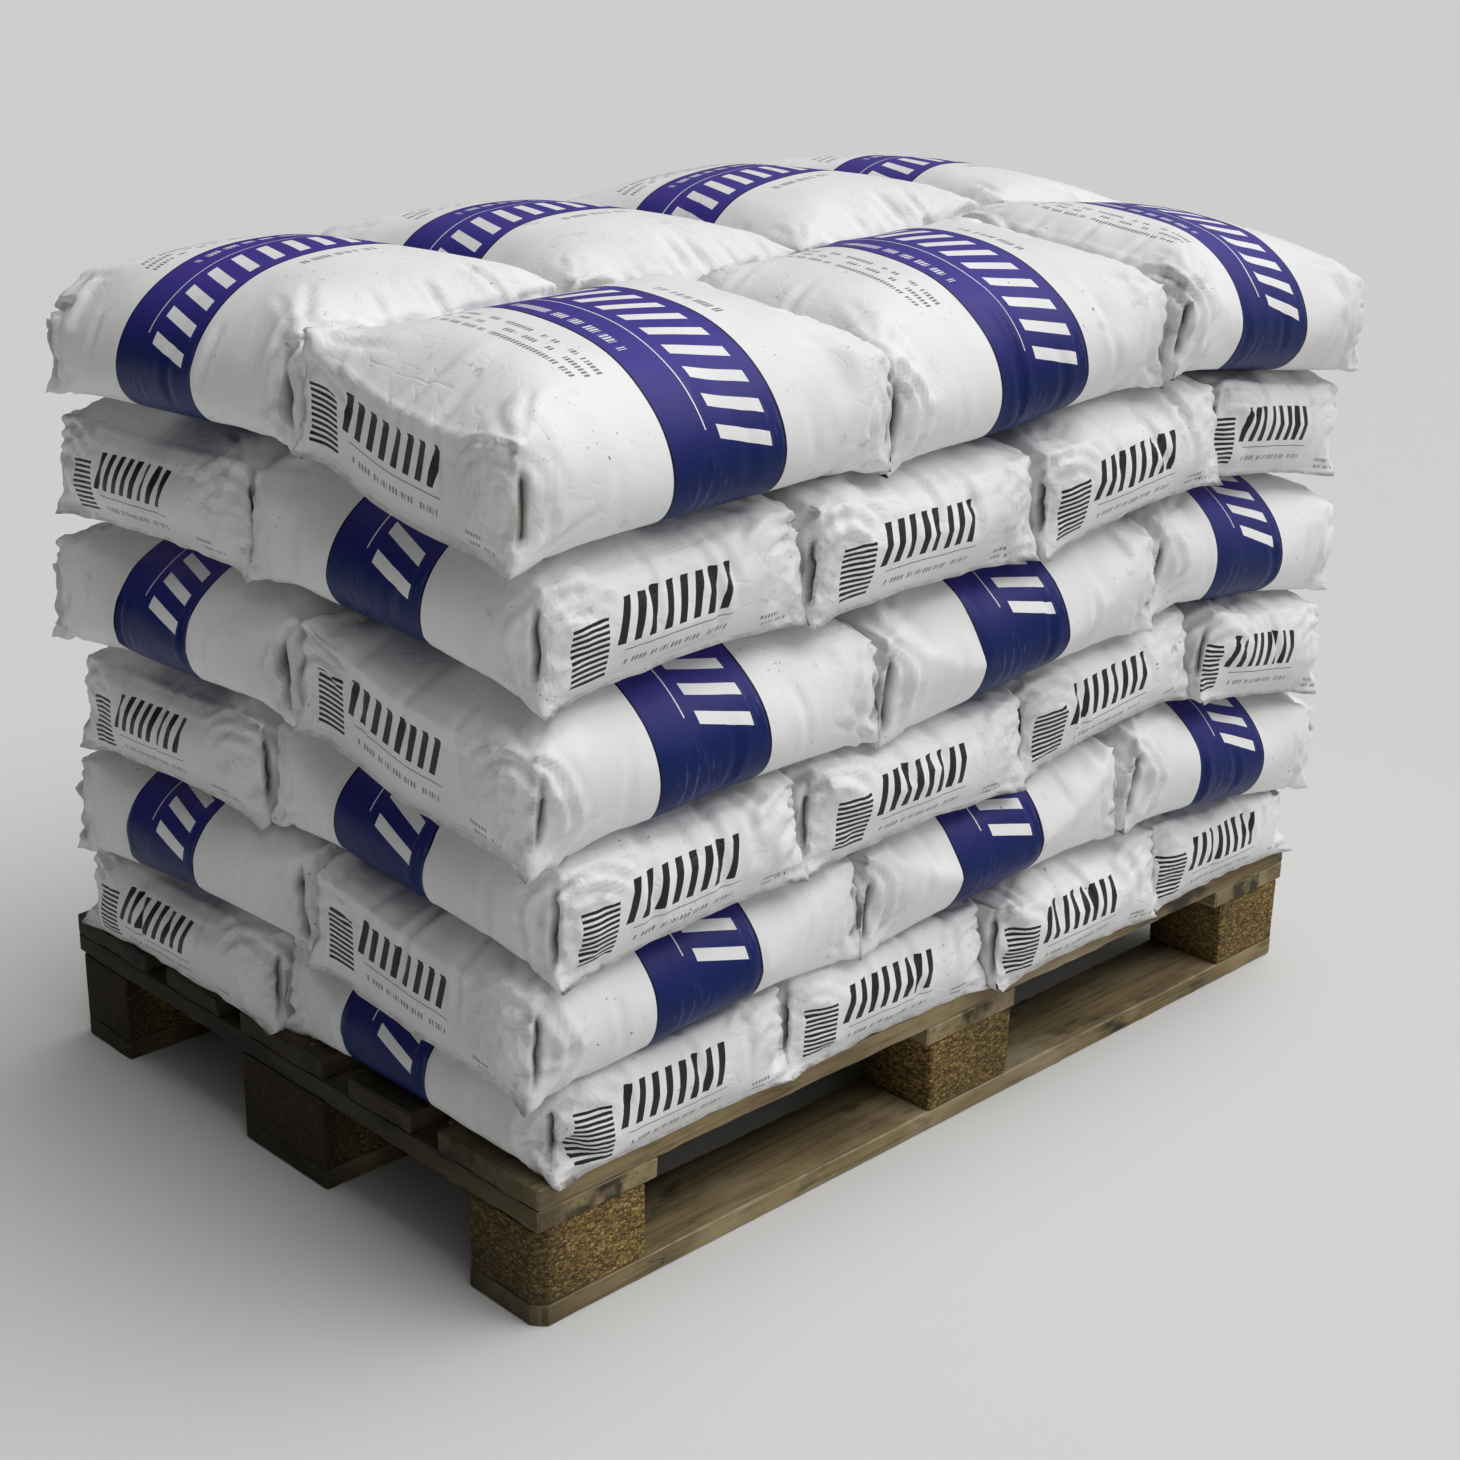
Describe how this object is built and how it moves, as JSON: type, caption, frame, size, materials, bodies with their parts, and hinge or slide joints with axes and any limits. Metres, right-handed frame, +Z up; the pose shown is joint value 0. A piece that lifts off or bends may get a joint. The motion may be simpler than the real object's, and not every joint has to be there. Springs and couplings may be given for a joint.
{
  "type": "pallet of sacks",
  "caption": "Four-way wooden pallet carrying interlocked layers of filled block-bottom paper sacks with a printed band round each sack.",
  "frame": {"origin": "on the floor under the middle of the pallet, at the underside of its middle skid", "axes": "+X along the pallet's 1200 mm length, +Y along its 800 mm width, +Z up; the long side at -Y is the front, where even layers show three sacks and odd layers four"},
  "size_m": [1.2214, 0.823, 0.9502],
  "materials": {
    "sack_paper": "white coated sack paper with a satin sheen, fine wrinkles, creased corners and a printed violet-blue band",
    "pallet_wood": "rough sawn softwood, weathered grey-brown, with worn and split edges",
    "pallet_block": "pressed wood chip, coarse and golden brown"
  },
  "bodies": {
    "root": {"sack_layer1_front1": "sack_paper", "sack_layer1_front2": "sack_paper", "sack_layer1_front3": "sack_paper", "sack_layer1_front4": "sack_paper", "sack_layer1_back1": "sack_paper", "sack_layer1_back2": "sack_paper", "sack_layer1_back3": "sack_paper", "sack_layer2_front1": "sack_paper", "sack_layer2_front2": "sack_paper", "sack_layer2_front3": "sack_paper", "sack_layer2_back1": "sack_paper", "sack_layer2_back2": "sack_paper", "sack_layer2_back3": "sack_paper", "sack_layer2_back4": "sack_paper", "sack_layer3_front1": "sack_paper", "sack_layer3_front2": "sack_paper", "sack_layer3_front3": "sack_paper", "sack_layer3_front4": "sack_paper", "sack_layer3_back1": "sack_paper", "sack_layer3_back2": "sack_paper", "sack_layer3_back3": "sack_paper", "sack_layer4_front1": "sack_paper", "sack_layer4_front2": "sack_paper", "sack_layer4_front3": "sack_paper", "sack_layer4_back1": "sack_paper", "sack_layer4_back2": "sack_paper", "sack_layer4_back3": "sack_paper", "sack_layer4_back4": "sack_paper", "sack_layer5_front1": "sack_paper", "sack_layer5_front2": "sack_paper", "sack_layer5_front3": "sack_paper", "sack_layer5_front4": "sack_paper", "sack_layer5_back1": "sack_paper", "sack_layer5_back2": "sack_paper", "sack_layer5_back3": "sack_paper", "sack_layer6_front1": "sack_paper", "sack_layer6_front2": "sack_paper", "sack_layer6_front3": "sack_paper", "sack_layer6_back1": "sack_paper", "sack_layer6_back2": "sack_paper", "sack_layer6_back3": "sack_paper", "sack_layer6_back4": "sack_paper", "deck_board_1": "pallet_wood", "deck_board_2": "pallet_wood", "deck_board_3": "pallet_wood", "deck_board_4": "pallet_wood", "deck_board_5": "pallet_wood", "cross_board_left": "pallet_wood", "cross_board_centre": "pallet_wood", "cross_board_right": "pallet_wood", "skid_front": "pallet_wood", "skid_back": "pallet_wood", "block_front_left": "pallet_block", "block_front_centre": "pallet_block", "block_front_right": "pallet_block", "block_back_left": "pallet_block", "block_back_centre": "pallet_block", "block_back_right": "pallet_block", "skid_middle_with_blocks": "pallet_block"}
  },
  "joints": []
}
